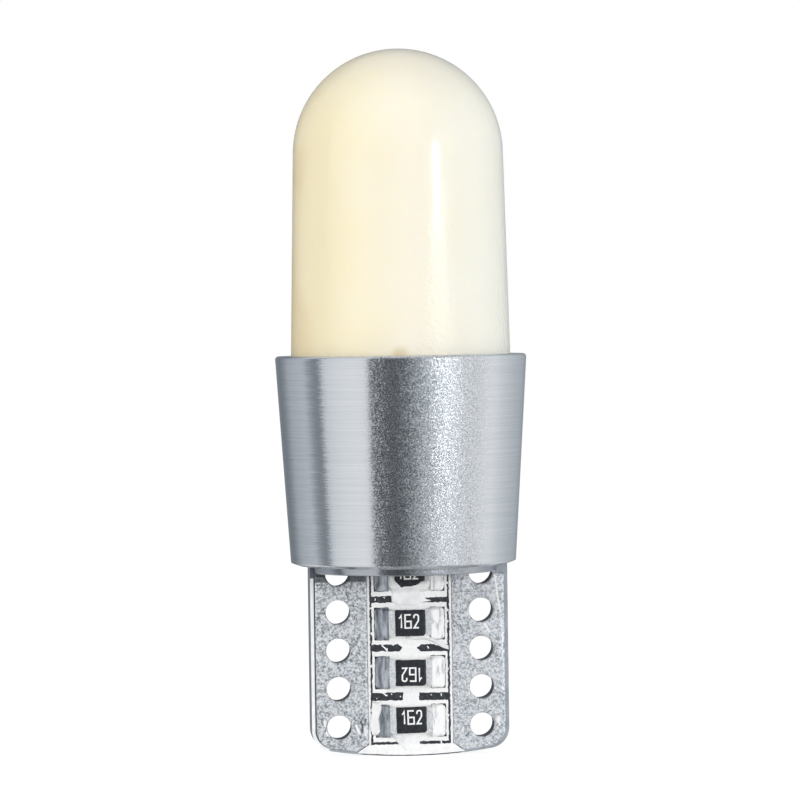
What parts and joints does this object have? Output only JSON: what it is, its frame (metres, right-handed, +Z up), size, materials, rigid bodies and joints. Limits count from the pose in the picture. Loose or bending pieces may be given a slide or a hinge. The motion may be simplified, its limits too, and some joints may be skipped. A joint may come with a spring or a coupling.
{
  "type": "wedge base led bulb",
  "caption": "Small LED bulb with a milky dome in an aluminium sleeve, on a circuit board blade that slides into a wedge lamp holder.",
  "frame": {"origin": "tip of the blade, on the sleeve's axis", "axes": "+Z up the axis to the dome, the resistor face towards -Y"},
  "size_m": [0.012, 0.012, 0.0336],
  "materials": {
    "milky_plastic": "glossy milky plastic, a little yellow",
    "turned_aluminium": "satin, fine turning lines",
    "light_board": "white solder mask on a metal core",
    "die": "polished blue die",
    "silicone_dam": "white silicone",
    "phosphor": "yellow phosphor in silicone",
    "board_laminate": "black solder mask on glass laminate, pale edges",
    "tinned_pad": "rough tinned copper",
    "white_print": "white board print",
    "tinned_pin": "tinned copper",
    "solder": "solder, wavy and bright",
    "chip_case": "moulded black case",
    "capacitor_ceramic": "sintered tan ceramic",
    "chip_cap": "matt tinned end cap",
    "white_ceramic": "white alumina",
    "black_glaze": "black glaze with a plain value code"
  },
  "bodies": {
    "root": {"diffuser_dome": "milky_plastic", "heat_sink_sleeve": "turned_aluminium", "led_board": "light_board", "led_dies": "die", "cob_dam": "silicone_dam", "cob_phosphor": "phosphor", "main_board": "board_laminate", "left_contact": "tinned_pad", "right_contact": "tinned_pad", "front_legend": "white_print", "led_pin_left": "tinned_pin", "led_pin_right": "tinned_pin", "pin_solder_left": "solder", "pin_solder_right": "solder", "bridge_rectifier": "chip_case", "bridge_leads": "tinned_pin", "bridge_solder": "solder", "capacitor_body": "capacitor_ceramic", "capacitor_caps": "chip_cap", "capacitor_solder": "solder", "resistor_body_1": "white_ceramic", "resistor_caps_1": "chip_cap", "resistor_solder_1": "solder", "resistor_glaze_1": "black_glaze", "resistor_body_2": "white_ceramic", "resistor_caps_2": "chip_cap", "resistor_solder_2": "solder", "resistor_glaze_2": "black_glaze", "resistor_body_3": "white_ceramic", "resistor_caps_3": "chip_cap", "resistor_solder_3": "solder", "resistor_glaze_3": "black_glaze", "resistor_body_4": "white_ceramic", "resistor_caps_4": "chip_cap", "resistor_solder_4": "solder", "resistor_glaze_4": "black_glaze"}
  },
  "joints": []
}
